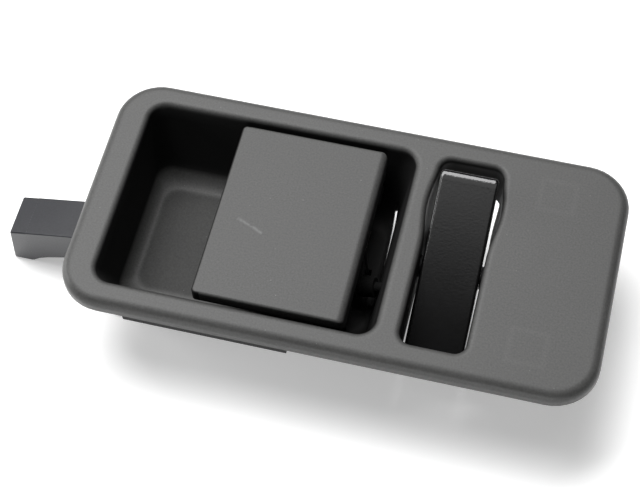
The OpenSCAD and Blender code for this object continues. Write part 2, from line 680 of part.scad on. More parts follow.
module detent_screw() color("silver")
    translate([detent_x, detent_y, detent_z]) mirror([0, 0, 1]) pan_screw(detent_screw_r, 3.8, 1.9, 1.1);

module threaded_inserts() color("goldenrod") at_inserts() difference() {
    union() {
        cylinder(r = insert_r, h = 7.8);
        translate([0, 0, -0.4]) cylinder(r = insert_r + 0.6, h = 0.4);
    }
    translate([0, 0, -1]) cylinder(r = insert_bore_r, h = 10);
}

// Spring steel clip over each tower, with a barbed leaf on two sides
module tower_clips() color("slategray") at_towers() {
    half = tower_w / 2 + 0.1;
    low = -clip_t - 0.1;
    block([-half - clip_t, -clip_half, low], [half + clip_t, clip_half, -0.1]);
    for (t = [0, 1]) mirror([t, 0, 0]) {
        block([half, -clip_half, low], [half + clip_t, clip_half, 10]);
        translate([half, 0, 2]) rotate([0, 22, 0]) block([0, -clip_half + 1, 0], [clip_t, clip_half - 1, 9]);
    }
}

bezel();
paddle_cap();
paddle_core();
paddle_screws();
hinge_pin();
hinge_clip();
hinge_washers();
paddle_spring();
stop_bumper();
crank_pin();
crank_roller();
release_bar();
bar_end_cap();
carrier();
carrier_screws();
rocker();
lock_lever();
lock_rod_clip();
rocker_pin();
rocker_pin_clip();
rocker_washers();
detent_spring();
detent_screw();
threaded_inserts();
tower_clips();
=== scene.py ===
import json
import math

import bmesh
import bpy
from mathutils import Matrix, Vector


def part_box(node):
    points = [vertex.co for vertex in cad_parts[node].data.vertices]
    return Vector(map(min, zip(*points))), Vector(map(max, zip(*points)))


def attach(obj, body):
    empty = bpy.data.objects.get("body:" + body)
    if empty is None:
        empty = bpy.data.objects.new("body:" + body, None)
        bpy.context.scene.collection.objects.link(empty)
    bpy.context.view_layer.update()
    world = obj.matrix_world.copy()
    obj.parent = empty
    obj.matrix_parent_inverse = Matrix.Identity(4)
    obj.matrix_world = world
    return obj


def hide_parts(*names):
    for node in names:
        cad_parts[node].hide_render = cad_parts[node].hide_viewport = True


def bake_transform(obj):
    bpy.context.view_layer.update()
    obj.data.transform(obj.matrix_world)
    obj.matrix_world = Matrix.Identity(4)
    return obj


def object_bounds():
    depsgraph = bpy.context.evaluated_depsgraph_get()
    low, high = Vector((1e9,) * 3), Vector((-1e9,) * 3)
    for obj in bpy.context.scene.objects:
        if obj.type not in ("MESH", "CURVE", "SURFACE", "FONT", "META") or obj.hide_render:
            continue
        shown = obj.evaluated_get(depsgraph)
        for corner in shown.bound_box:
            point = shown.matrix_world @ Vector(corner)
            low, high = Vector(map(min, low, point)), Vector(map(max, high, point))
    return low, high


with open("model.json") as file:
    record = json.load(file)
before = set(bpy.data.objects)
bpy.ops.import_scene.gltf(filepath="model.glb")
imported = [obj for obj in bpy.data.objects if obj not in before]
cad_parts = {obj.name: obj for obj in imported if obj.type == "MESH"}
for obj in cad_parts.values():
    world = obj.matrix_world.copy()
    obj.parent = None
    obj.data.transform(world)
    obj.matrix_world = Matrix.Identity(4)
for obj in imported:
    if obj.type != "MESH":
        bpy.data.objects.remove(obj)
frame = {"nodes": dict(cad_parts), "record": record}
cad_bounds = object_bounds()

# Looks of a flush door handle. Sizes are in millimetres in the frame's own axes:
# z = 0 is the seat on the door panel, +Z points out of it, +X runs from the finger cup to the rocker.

MM = 0.001
cad = frame["nodes"]
for spare in list(bpy.data.materials):
    bpy.data.materials.remove(spare)


def ends(node):
    """The lowest and highest corner of a CAD node, in millimetres."""
    low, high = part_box(node)
    return Vector(low) / MM, Vector(high) / MM


# ---------------------------------------------------------------- driving sizes
bezel_hi = ends("bezel")[1]
cap_lo, cap_hi = ends("paddle_cap")
key_lo, key_hi = ends("rocker")
pin_lo, pin_hi = ends("hinge_pin")
key_pin_lo, key_pin_hi = ends("rocker_pin")
insert_lo, insert_hi = ends("threaded_inserts")
screw_lo, screw_hi = ends("carrier_screws")
clip_lo, clip_hi = ends("tower_clips")
spring_lo = ends("paddle_spring")[0]
washer_hi = ends("hinge_washers")[1]
bar_lo, bar_hi = ends("release_bar")
end_cap_hi = ends("bar_end_cap")[1]
detent_lo, detent_hi = ends("detent_spring")

FACE_Z = bezel_hi.z
PLATE_Z = FACE_Z - 3.0          # underside of the face plate
RIM_T = 3.0
EDGE_R = 3.6
BEZEL_R = 16.0
CUP = (-80.5, 17.0, -37.0, 37.0)    # its mouth's left, right, near and far side
CUP_FLOOR = FACE_Z - 31.0
CUP_WALL = 2.4
MOUTH_R = 6.0                   # corners of the mouth
MOUTH_EDGE = 2.5                # rolled edge down into the cup
WALL_TOP = FACE_Z - MOUTH_EDGE
LONG_ARC = (19.9, 10.0)         # centre and radius where the long, left and right walls meet the floor
LEFT_ARC = (72.8, 6.0)
RIGHT_ARC = (9.2, 3.0)
DRAIN_X = (11.15, 12.2)
DRAIN_Y = (6.0, 28.5)
DRAIN_TIP = 0.4                 # width of its narrow end
CRANK_SLOT = (-9.0, 8.95, 5.2)  # its two ends and its half width
FOOT_HOLE = 1.2                 # half width of the hole for the spring's foot
WELL_X = (key_lo.x + key_hi.x) / 2
WELL_HALF = (11.1, 37.0)        # half width and half length
WELL_R = 4.0
WELL_WALL = 2.2
WELL_Z = -14.0
WELL_EDGE = 2.2
BULGE = (19.0, 18.0, 1.6)       # centre along Y, half length, depth
LEAN_DEPTH = 9.0                # below the plate, where the well's right side is straight again
LEAN_PAST = 0.35                # how far it leans in past straight, as a share of the bulge
BEND_STEP = 2.1                 # height between loops down the leaning sides
BEND_LOOPS = 7
CHAMFER = 0.3                   # broken edge at the foot of walls and bosses
JOIN = 0.2                      # overlap of a boss or rib with the face plate
BAFFLE = (3.5, 1.2)             # ledge low in the well: start along Y, thickness
# Inset from the CAD node's ends, radius, bore radius, and the foot's height over the node's lowest point
INSERT_BOSS = (3.4, 4.5, 2.85, 0.4)
SCREW_BOSS = (2.3, 3.2, 1.25, 3.3)
TOWER = (4.0, 7.0, 2.0, 0.9)    # the same for the clips' towers, with half width and wall
TOWER_X = (clip_lo.x + clip_hi.x) / 2
TOWER_Y = clip_hi.y - TOWER[0]
RIB_HALF = 0.8
RIB_START = WELL_X + 12.4       # inside the well's wall
SIDE_RIB_Y = 15.0
CROSS_RIB_X = 56.8
HINGE_BOSS = (5.5, 38.4, 0.4)   # radius, how far out it reaches, broken edge
BRACKET = (5.5, 3.0, 6.7, 2.3)  # detent bracket: top under the key's pin, thickness, length, half width
KEY_TILT = 20.0
KEY_HALF_L = 34.35
KEY_TOP = 6.2
KEY_SIDE_R = 1.0
KEY_END = (3.4, 1.4)            # the rolled ends run further along than they drop
KEY_CORNER = 1.6
KEY_WALL = 2.0
KEY_HOLLOW = 4.2
KEY_HUB_R = 5.0
PADDLE_ROLL = 2.4               # rolled right edge
PADDLE_EDGE = 1.0               # the other edges
PADDLE_CORNER = 1.8
PADDLE_BACK = -0.45
PADDLE_POCKET = (2.4, 2.2, 2.6, 3.0)    # walls at the left, right and long sides, and the plate
PADDLE_LEAN = (2.0, 2.5, 8.5)   # how far the long sides lean in, from which height, over what height
LIP = (2.9, 0.05, 3.0, -2.5)    # paddle's lips: thickness, inset, inset at the ends, left lip's depth
HINGE = ((pin_lo.x + pin_hi.x) / 2, (pin_lo.z + pin_hi.z) / 2)
CORNER = 10                     # steps round each corner
ARC = 8                         # steps over each rounded edge


# ---------------------------------------------------------------- mesh tools
def quarter(steps):
    """Angles from 0 to 90 degrees."""
    return [math.radians(90 * k / steps) for k in range(steps + 1)]


def rect_loop(rect, r, z, side_points=1, bulge=None):
    """Points round a rectangle with round corners, anticlockwise from the right side's near end.
    z is a height, or a height for each share of facing right; bulge swells the two long sides."""
    x0, x1, y0, y1 = rect
    height = z if callable(z) else lambda share: z
    corners = [(x1 - r, y1 - r, 0), (x0 + r, y1 - r, 90),
               (x0 + r, y0 + r, 180), (x1 - r, y0 + r, 270)]
    pts = []
    for k, (cx, cy, start) in enumerate(corners):
        px, py = corners[k - 1][:2]
        a = math.radians(start)
        nx, ny = math.cos(a), math.sin(a)
        for i in range(1, side_points):
            t = i / side_points
            x = px + r * nx + (cx - px) * t
            y = py + r * ny + (cy - py) * t
            if bulge and k % 2 == 0:
                x += bulge(y, nx) * nx
            pts.append((x, y, height(max(nx, 0) ** 2)))
        for q in quarter(CORNER):
            c, s = math.cos(a + q), math.sin(a + q)
            x = cx + r * c
            if bulge and abs(c) > 1e-6:
                x += bulge(cy + r * s, c) * c
            pts.append((x, cy + r * s, height(max(c, 0) ** 2)))
    return pts


def add_loop(bm, pts):
    return [bm.verts.new(Vector(p) * MM) for p in pts]


def chain(bm, loops, closed=False):
    """Skins a row of loops of one length and gives back the first and the last as vertices."""
    rings = [add_loop(bm, pts) for pts in loops]
    pairs = list(zip(rings, rings[1:])) + ([(rings[-1], rings[0])] if closed else [])
    for low, high in pairs:
        n = len(low)
        for i in range(n):
            j = (i + 1) % n
            bm.faces.new((low[i], low[j], high[j], high[i]))
    return rings[0], rings[-1]


def fill(bm, *rings):
    """Fills the flat region between loops of vertices."""
    edges = [bm.edges.get((r[i], r[(i + 1) % len(r)])) for r in rings for i in range(len(r))]
    bmesh.ops.triangle_fill(bm, use_beauty=True, use_dissolve=False, edges=edges)


def cap_off(bm, ring):
    bm.faces.new(ring)


def new_object(name, bm, sharp=40):
    bmesh.ops.remove_doubles(bm, verts=bm.verts, dist=1e-7)
    bmesh.ops.recalc_face_normals(bm, faces=bm.faces)
    mesh = bpy.data.meshes.new(name)
    bm.to_mesh(mesh)
    bm.free()
    obj = bpy.data.objects.new(name, mesh)
    bpy.context.scene.collection.objects.link(obj)
    return smooth(obj, sharp)


def smooth(obj, sharp=40):
    mesh = obj.data
    mesh.polygons.foreach_set("use_smooth", [True] * len(mesh.polygons))
    mesh.set_sharp_from_angle(angle=math.radians(sharp))
    return obj


def bake(obj):
    """Applies the modifiers."""
    graph = bpy.context.evaluated_depsgraph_get()
    mesh = bpy.data.meshes.new_from_object(obj.evaluated_get(graph))
    obj.modifiers.clear()
    obj.data = mesh
    return obj


def add_bevel(obj, width, segments=3):
    """Rounds the edges that carry a bevel weight."""
    mod = obj.modifiers.new("ease", "BEVEL")
    mod.width = width * MM
    mod.segments = segments
    mod.limit_method = "WEIGHT"
    mod.harden_normals = True
    mod.use_clamp_overlap = True
    return bake(obj)


def add_box(bm, low, high):
    size = Vector(high) - Vector(low)
    middle = (Vector(high) + Vector(low)) / 2
    place = Matrix.Translation(middle * MM) @ Matrix.Diagonal((*(size * MM), 1))
    bmesh.ops.create_cube(bm, size=1, matrix=place)


def circle_loop(x, y, r, z, steps=40):
    return [(x + r * math.cos(math.tau * k / steps), y + r * math.sin(math.tau * k / steps), z)
            for k in range(steps)]


def turn_along_y(pts, x, z):
    """Carries loops drawn round (0, 0) in X and Y over to a rod along Y through (x, z)."""
    return [(x + p[0], p[2], z + p[1]) for p in pts]


def box_shape(low, high):
    bm = bmesh.new()
    add_box(bm, low, high)
    return bm


def wedge_shape(outline, low, high):
    """Upright prism from an outline in X and Y."""
    bm = bmesh.new()
    bottom, top = chain(bm, [[(x, y, z) for x, y in outline] for z in (low, high)])
    cap_off(bm, bottom)
    cap_off(bm, top)
    return bm


def cut_shapes(obj, shapes):
    for bm in shapes:
        cutter = new_object("cutter", bm)
        mod = obj.modifiers.new("cut", "BOOLEAN")
        mod.object = cutter
        mod.solver = "EXACT"
        bake(obj)
        bpy.data.objects.remove(cutter)
    return smooth(obj)


def eased(node, width, joint_x=None, segments=3, angle=32):
    """A copy of a CAD node with its flat faces joined up and its edges rounded,
    those in the plane of a joint only slightly."""
    bm = bmesh.new()
    bm.from_mesh(cad[node].data)
    bmesh.ops.remove_doubles(bm, verts=bm.verts, dist=2e-6)
    bmesh.ops.dissolve_limit(bm, angle_limit=math.radians(0.5), verts=bm.verts, edges=bm.edges)
    weight = bm.edges.layers.float.new("bevel_weight_edge")
    for edge in bm.edges:
        in_joint = joint_x is not None and all(abs(v.co.x - joint_x * MM) < 1e-5 for v in edge.verts)
        corner = edge.is_manifold and edge.calc_face_angle(0) > math.radians(angle)
        edge[weight] = (0.1 if in_joint else 1.0) if corner else 0.0
    obj = add_bevel(new_object(node + "_eased", bm), width, segments)
    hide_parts(node)
    return obj


def finish_piece(obj, body, slot):
    obj.data.materials.clear()
    obj.data.materials.append(MATERIALS[slot])
    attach(obj, body)
    return obj


# ---------------------------------------------------------------- materials
def node_material(name):
    mat = bpy.data.materials.new(name)
    mat.use_nodes = True
    nodes, links = mat.node_tree.nodes, mat.node_tree.links
    place = nodes.new("ShaderNodeTexCoord").outputs["Object"]
    return mat, nodes, links, nodes["Principled BSDF"], place


def noise(nodes, links, place, scale, detail=2.0, roughness=0.5):
    tex = nodes.new("ShaderNodeTexNoise")
    tex.inputs["Scale"].default_value = scale
    tex.inputs["Detail"].default_value = detail
    tex.inputs["Roughness"].default_value = roughness
    links.new(place, tex.inputs["Vector"])
    return tex.outputs["Fac"]


def ramp(nodes, links, value, stops):
    node = nodes.new("ShaderNodeValToRGB")
    row = node.color_ramp.elements
    row[0].position, row[0].color = stops[0]
    row[1].position, row[1].color = stops[-1]
    for position, color in stops[1:-1]:
        row.new(position).color = color
    links.new(value, node.inputs["Fac"])
    return node.outputs["Color"]


def grey(v, tint=(1, 1, 1)):
    return (v * tint[0], v * tint[1], v * tint[2], 1)


def span(nodes, links, value, low, high):
    node = nodes.new("ShaderNodeMapRange")
    node.inputs["To Min"].default_value = low
    node.inputs["To Max"].default_value = high
    links.new(value, node.inputs["Value"])
    return node.outputs["Result"]


def mix_color(nodes, links, share, a, b):
    node = nodes.new("ShaderNodeMix")
    node.data_type = "RGBA"
    links.new(share, node.inputs["Factor"])
    for socket, value in ((node.inputs[6], a), (node.inputs[7], b)):
        if isinstance(value, tuple):
            socket.default_value = value
        else:
            links.new(value, socket)
    return node.outputs[2]


def bump(nodes, links, shader, height, strength, distance):
    node = nodes.new("ShaderNodeBump")
    node.inputs["Strength"].default_value = strength
    node.inputs["Distance"].default_value = distance
    links.new(height, node.inputs["Height"])
    links.new(node.outputs["Normal"], shader.inputs["Normal"])


def math_node(nodes, links, kind, a, b=None):
    node = nodes.new("ShaderNodeMath")
    node.operation = kind
    for socket, value in ((node.inputs[0], a), (node.inputs[1], b)):
        if isinstance(value, (int, float)):
            socket.default_value = value
        elif value is not None:
            links.new(value, socket)
    return node.outputs[0]


def distance(nodes, links, value, place):
    """How far a coordinate is from a place given in millimetres."""
    return math_node(nodes, links, "ABSOLUTE", math_node(nodes, links, "SUBTRACT", value, place * MM))


def dust(nodes, links, place, scale, share):
    """A few pale specks."""
    tex = nodes.new("ShaderNodeTexVoronoi")
    tex.inputs["Scale"].default_value = scale
    links.new(place, tex.inputs["Vector"])
    return ramp(nodes, links, tex.outputs["Distance"], [(0.0, grey(share)), (0.045, grey(0))])


def depth_ramp(nodes, links, place, stops):
    """A grey for each height: stops give a height in millimetres, from the lowest up, and its grey."""
    parts = nodes.new("ShaderNodeSeparateXYZ")
    links.new(place, parts.inputs["Vector"])
    low, high = stops[0][0], stops[-1][0]
    node = nodes.new("ShaderNodeMapRange")
    node.inputs["From Min"].default_value = low * MM
    node.inputs["From Max"].default_value = high * MM
    links.new(parts.outputs["Z"], node.inputs["Value"])
    shares = [((z - low) / (high - low), grey(v)) for z, v in stops]
    return ramp(nodes, links, node.outputs["Result"], shares)


def scaled(nodes, links, color, share):
    """A colour times a share."""
    node = nodes.new("ShaderNodeMix")
    node.data_type, node.blend_type = "RGBA", "MULTIPLY"
    node.inputs["Factor"].default_value = 1.0
    links.new(color, node.inputs[6])
    links.new(share, node.inputs[7])
    return node.outputs[2]


MOTTLE = 0.45                   # how far the fine grain changes the tone
SLOW_GRAIN = 30                 # scale of the slow changes of tone and sheen
FINE_GRAIN = 1500
DUST = (190, 0.3)               # scale and share of the dust specks
SHEEN_SPREAD = 0.03             # how far the roughness wanders
GAP_SHADE = (14, 0.04)           # painted shadow of the paddle in the gap beside it: how far under it, and its share of the tone
SINK_MARK = (6.0, 1.5, 1.12)    # painted reflection off faint sink marks: half width of the square, half width of its line, share of the tone


def bezel_shade_and_highlight(nodes, links, place):
    """Share of the face's tone, with painted shade and highlight: full on the face and outside it, low
    on the walls inside the openings as painted shade, with a painted highlight band at the foot of the
    cup's walls, and lower still in the gap to the right of the paddle, as painted shadow of the paddle."""
    parts = nodes.new("ShaderNodeSeparateXYZ")
    links.new(place, parts.inputs["Vector"])
    outside = outside_openings(nodes, links, parts)
    in_cup = math_node(nodes, links, "LESS_THAN", parts.outputs["X"], (cap_hi.x - GAP_SHADE[0]) * MM)
    cup = math_node(nodes, links, "MULTIPLY", depth_ramp(nodes, links, place, CUP_SHADE_AND_HIGHLIGHT),
                    span(nodes, links, in_cup, GAP_SHADE[1], 1.0))
    top = depth_ramp(nodes, links, place, FACE_TONES)
    share = math_node(nodes, links, "MAXIMUM", outside, math_node(nodes, links, "MAXIMUM", cup, top))
    return math_node(nodes, links, "MULTIPLY", share, sink_mark_glints(nodes, links, parts))


def outside_openings(nodes, links, parts):
    """1 beyond the cup and the well on every side, 0 elsewhere."""
    x = math_node(nodes, links, "ABSOLUTE", parts.outputs["X"])
    y = math_node(nodes, links, "ABSOLUTE", parts.outputs["Y"])
    past_side = math_node(nodes, links, "GREATER_THAN", x, (-CUP[0] + CUP_WALL + MOUTH_EDGE) * MM)
    past_end = math_node(nodes, links, "GREATER_THAN", y, (CUP[3] + CUP_WALL + MOUTH_EDGE) * MM)
    return math_node(nodes, links, "MAXIMUM", past_side, past_end)


def bezel_sheen(nodes, links, place):
    """Roughness: that of the cup by height, and smoother over the rolled outer edge."""
    parts = nodes.new("ShaderNodeSeparateXYZ")
    links.new(place, parts.inputs["Vector"])
    inside = math_node(nodes, links, "SUBTRACT", 1.0, outside_openings(nodes, links, parts))
    rim = math_node(nodes, links, "MAXIMUM", inside, depth_ramp(nodes, links, place, RIM_SHEEN))
    return math_node(nodes, links, "MINIMUM", rim, depth_ramp(nodes, links, place, CUP_SHEEN))


def sink_mark_glints(nodes, links, parts):
    """Slightly paler square outlines on the face over the two towers behind it: painted reflection off
    faint sink marks there.
    """
    half, line, share = SINK_MARK
    dx = distance(nodes, links, parts.outputs["X"], TOWER_X)
    dy = distance(nodes, links, math_node(nodes, links, "ABSOLUTE", parts.outputs["Y"]), TOWER_Y)
    off = distance(nodes, links, math_node(nodes, links, "MAXIMUM", dx, dy), half)
    node = nodes.new("ShaderNodeMapRange")
    node.inputs["From Max"].default_value = line * MM
    node.inputs["To Min"].default_value = share
    node.inputs["To Max"].default_value = 1.0
    links.new(off, node.inputs["Value"])
    return node.outputs["Result"]


# Painted shade: the key's tone darker towards its low end, deep in the well.
def key_painted_shade(nodes, links, place):
    return depth_ramp(nodes, links, place, KEY_SHADE)


def key_sheen(nodes, links, place):
    return depth_ramp(nodes, links, place, KEY_SHEEN)


def paddle_sheen(nodes, links, place):
    return depth_ramp(nodes, links, place, PADDLE_SHEEN)


def paddle_edge_shade(nodes, links, place):
    """Full on the face, low over the rolled left edge as painted shade."""
    parts = nodes.new("ShaderNodeSeparateXYZ")
    links.new(place, parts.inputs["Vector"])
    past_edge = math_node(nodes, links, "GREATER_THAN", parts.outputs["X"], (cap_lo.x + 3) * MM)
    return math_node(nodes, links, "MAXIMUM", past_edge, depth_ramp(nodes, links, place, PADDLE_EDGE_SHADE))


def plastic(name, tone, tint, rough, grain=FINE_GRAIN, relief=0.00005, dusty=False, shine=0.5,
            painted_shading_of=None, sheen_of=None):
    """Spark-eroded moulded plastic: fine grain, slow changes of tone and sheen, and a little dust.
    The tone may be scaled by place, to paint shade and highlight, and the roughness set by place."""
    mat, nodes, links, shader, place = node_material(name)
    slow = noise(nodes, links, place, SLOW_GRAIN, 3)
    fine = noise(nodes, links, place, grain, 2, 0.6)
    color = ramp(nodes, links, slow, [(0.3, grey(tone * 0.93, tint)), (0.7, grey(tone * 1.07, tint))])
    if dusty:
        color = mix_color(nodes, links, dust(nodes, links, place, *DUST), color, grey(0.45))
    color = scaled(nodes, links, color, span(nodes, links, fine, 1 - MOTTLE, 1 + MOTTLE))
    sheen = span(nodes, links, slow, rough - SHEEN_SPREAD, rough + SHEEN_SPREAD)
    shader.inputs["Specular IOR Level"].default_value = shine
    # Painted shade and highlight: the tone scaled by place.
    if painted_shading_of:
        color = scaled(nodes, links, color, painted_shading_of(nodes, links, place))
    if sheen_of:
        wander = span(nodes, links, slow, -SHEEN_SPREAD, SHEEN_SPREAD)
        sheen = math_node(nodes, links, "ADD", wander, sheen_of(nodes, links, place))
    links.new(color, shader.inputs["Base Color"])
    links.new(sheen, shader.inputs["Roughness"])
    bump(nodes, links, shader, fine, 0.55, relief)
    return mat


def scratched_plastic(name, tone, tint, rough, shine, start, end, width):
    """The same plastic with one faint, broken scratch between two places on the face."""
    mat = plastic(name, tone, tint, rough, dusty=True, shine=shine, painted_shading_of=paddle_edge_shade,
                  sheen_of=paddle_sheen)
    nodes, links = mat.node_tree.nodes, mat.node_tree.links
    shader = nodes["Principled BSDF"]
    place = nodes.new("ShaderNodeTexCoord").outputs["Object"]
    parts = nodes.new("ShaderNodeSeparateXYZ")
    links.new(place, parts.inputs["Vector"])
    x, y = parts.outputs["X"], parts.outputs["Y"]
    along = (Vector(end) - Vector(start)) * MM
    length = along.length
    ux, uy = along.x / length, along.y / length
    dx = math_node(nodes, links, "SUBTRACT", x, start[0] * MM)
    dy = math_node(nodes, links, "SUBTRACT", y, start[1] * MM)
    run = math_node(nodes, links, "ADD", math_node(nodes, links, "MULTIPLY", dx, ux),
                    math_node(nodes, links, "MULTIPLY", dy, uy))
    off = math_node(nodes, links, "SUBTRACT", math_node(nodes, links, "MULTIPLY", dy, ux),
                    math_node(nodes, links, "MULTIPLY", dx, uy))
    wander = math_node(nodes, links, "MULTIPLY", noise(nodes, links, place, 220, 2), 0.0016)
    off = math_node(nodes, links, "ABSOLUTE", math_node(nodes, links, "ADD", off, wander))
    from_middle = distance(nodes, links, run, length / 2 / MM)
    inside = math_node(nodes, links, "LESS_THAN", from_middle, length / 2)
    near = nodes.new("ShaderNodeMapRange")
    near.inputs["From Max"].default_value = width * MM
    near.inputs["To Min"].default_value = 1.0
    near.inputs["To Max"].default_value = 0.0
    links.new(off, near.inputs["Value"])
    patches = noise(nodes, links, place, 420, 3)
    broken = ramp(nodes, links, patches, [(0.4, grey(0.04)), (0.62, grey(0.16))])
    share = math_node(nodes, links, "MULTIPLY", inside, near.outputs["Result"])
    share = math_node(nodes, links, "MULTIPLY", share, broken)
    base = shader.inputs["Base Color"].links[0].from_socket
    links.new(mix_color(nodes, links, share, base, grey(0.4)), shader.inputs["Base Color"])
    return mat


def steel(name, tone, tint, rough):
    """Plated, turned or oiled metal."""
    mat, nodes, links, shader, place = node_material(name)
    slow = noise(nodes, links, place, 160, 4)
    fine = noise(nodes, links, place, 2600, 2)
    color = ramp(nodes, links, slow, [(0.3, grey(tone * 0.8, tint)), (0.7, grey(tone, tint))])
    links.new(color, shader.inputs["Base Color"])
    links.new(span(nodes, links, slow, rough - 0.06, rough + 0.1), shader.inputs["Roughness"])
    shader.inputs["Metallic"].default_value = 1.0
    bump(nodes, links, shader, fine, 0.2, 0.00002)
    return mat


SCRATCH = ((-38.0, -2.5), (-28.0, -6.5), 0.8)   # its two ends and its half width
# Shares of the tone at heights on the part, which paint shade and highlight (TONES, SHADE), and
# roughnesses (SHEEN)
# Painted shade on the walls inside the openings, and a painted highlight band at the foot of the cup's
# walls, the floor a little darker than the band
CUP_SHADE_AND_HIGHLIGHT = [(CUP_FLOOR, 0.58), (CUP_FLOOR + 0.25, 1.0), (CUP_FLOOR + 3.2, 0.9),
             (CUP_FLOOR + 5, 0.07), (FACE_Z, 0.05)]
FACE_TONES = [(FACE_Z - 1.4, 0.0), (FACE_Z - 0.25, 1.0)]
CUP_SHEEN = [(CUP_FLOOR, 0.76), (CUP_FLOOR + 0.25, 0.56), (CUP_FLOOR + 3.5, 0.56),
             (CUP_FLOOR + 5, 0.8), (0.0, 0.8), (FACE_Z - 0.8, 0.52)]
RIM_SHEEN = [(0.0, 0.4), (FACE_Z - 0.5, 0.4), (FACE_Z - 0.02, 1.0)]
# Painted shade over the paddle's rolled left edge
PADDLE_EDGE_SHADE = [(cap_hi.z - 0.22, 0.03), (cap_hi.z - 0.05, 1.0)]
PADDLE_SHEEN = [(cap_hi.z - 0.5, 1.0), (cap_hi.z - 0.05, 0.53)]
# Painted shade on the key, darker towards its low end
KEY_SHADE = [(key_lo.z, 0.35), (key_hi.z, 1.0)]
KEY_SHEEN = [(key_lo.z, 0.14), (-6.0, 0.15), (key_hi.z - 1, 0.22), (key_hi.z - 0.5, 0.1),
             (key_hi.z, 0.1)]
MATERIALS = {
    "bezel_plastic": plastic("bezel_plastic", 0.055, (1, 1, 0.98), 0.52, dusty=True, shine=0.33,
                             painted_shading_of=bezel_shade_and_highlight, sheen_of=bezel_sheen),
    "paddle_plastic": scratched_plastic("paddle_plastic", 0.05, (1, 1, 0.98), 0.53, 0.33, *SCRATCH),
    "dark_plastic": plastic("dark_plastic", 0.01, (1, 1, 1.05), 0.65, shine=0.25),
    "arm_plastic": plastic("arm_plastic", 0.02, (0.94, 0.97, 1.15), 0.3),
    "key_plastic": plastic("key_plastic", 0.006, (1, 1, 1.02), 0.25, painted_shading_of=key_painted_shade,
                           sheen_of=key_sheen),
    "white_plastic": plastic("white_plastic", 0.62, (1, 0.97, 0.86), 0.45),
    "zinc_steel": steel("zinc_steel", 0.62, (1, 1, 0.96), 0.34),
    "spring_steel": steel("spring_steel", 0.34, (0.97, 0.98, 1), 0.38),
    "brass": steel("brass", 0.7, (1, 0.78, 0.4), 0.3),
    "rubber": plastic("rubber", 0.005, (1, 1, 1), 0.85, grain=2200, shine=0.15),
}


# ---------------------------------------------------------------- closing spring's centre line
WIRE_R = 0.6
COIL_R = 4.4
TURNS = 5
PITCH = 1.45
COIL_STEPS = 28                 # for each turn
FOOT = 17.8                     # straight leg down through the cup's floor
TIP = 3.8                       # straight leg up under the paddle


def spring_route():
    """From the foot round the coil to the tip, drawn about the hinge axis."""
    first_y = spring_lo.y + WIRE_R
    start, turn = math.radians(86), math.tau * TURNS - math.radians(4)
    steps = COIL_STEPS * TURNS
    route = []
    for k in range(steps + 1):
        a = start - turn * k / steps
        y = first_y + PITCH * TURNS * k / steps
        route.append(Vector((COIL_R * math.sin(a), y, COIL_R * math.cos(a))))
    foot = route[0] + FOOT * Vector((math.cos(start), 0, -math.sin(start)))
    return [foot, *route, route[-1] + Vector((0, 0, TIP))]


# ---------------------------------------------------------------- bezel
def outer_loop(d, z):
    w, h = bezel_hi.x + d, bezel_hi.y + d
    return rect_loop((-w, w, -h, h), BEZEL_R + d, z, 2)


def leaning_wall(top, arc, grow):
    """From a height, the place of a cup wall that leans in and runs into its floor radius."""
    centre, r = arc[0], arc[1] + grow
    centre_z = CUP_FLOOR + arc[1]
    top += grow
    dx, dz = top - centre, WALL_TOP - centre_z
    a = math.atan2(dz, dx) - math.acos(r / math.hypot(dx, dz))
    touch, touch_z = centre + r * math.cos(a), centre_z + r * math.sin(a)

    def place(z):
        if z >= WALL_TOP:
            return top
        if z >= touch_z:
            return touch + (top - touch) * (z - touch_z) / (WALL_TOP - touch_z)
        return centre + math.sqrt(max(r * r - (centre_z - z) ** 2, 0))
    return place


def cup_loops(grow):
    """Loops down the inside of the cup, or down its outside for a grow above 0."""
    left = leaning_wall(-CUP[0], LEFT_ARC, grow)
    right = leaning_wall(CUP[1], RIGHT_ARC, grow)
    side = leaning_wall(CUP[3], LONG_ARC, grow)
    floor = CUP_FLOOR - grow
    arc_r = LONG_ARC[1] + grow
    heights = [floor + arc_r * (1 - math.cos(a)) for a in quarter(20)]
    knee = heights[-1]
    heights += [knee + (WALL_TOP - knee) * k / 8 for k in range(1, 9)]
    return [rect_loop((-left(z), right(z), -side(z), side(z)), MOUTH_R + grow, z, 6)
            for z in reversed(heights)]


def mouth_loop(d, z):
    return rect_loop((CUP[0] - d, CUP[1] + d, CUP[2] - d, CUP[3] + d), MOUTH_R + d, z, 6)


def well_bulge(left_share, right_share):
    """How far a long side of the well swells out at a place along it."""
    centre, half, depth = BULGE

    def swell(y, facing):
        t = (y - centre) / half
        most = depth * (right_share if facing > 0 else left_share)
        return most * math.cos(math.pi * t / 2) ** 2 if abs(t) < 1 else 0.0
    return swell


def well_loop(d, z):
    """Loop of the well's wall: both bulges lean back in on the way down, the left one to the bottom."""
    w, l = WELL_HALF[0] + d, WELL_HALF[1] + d
    left_share = min(max((z - WELL_Z) / (PLATE_Z - WELL_Z), 0), 1)
    right_share = min(max(1 - (PLATE_Z - z) / LEAN_DEPTH, -LEAN_PAST), 1)
    swell = well_bulge(left_share, right_share)
    return rect_loop((WELL_X - w, WELL_X + w, -l, l), WELL_R + d, z, 48, swell)


def over_edge(loop, r):
    """Loops over a rounded edge, from the flat face down into an opening."""
    return [loop(r + 0.5, FACE_Z)] + [loop(r * (1 - math.sin(a)), FACE_Z - r * (1 - math.cos(a)))
                                     for a in quarter(ARC)]


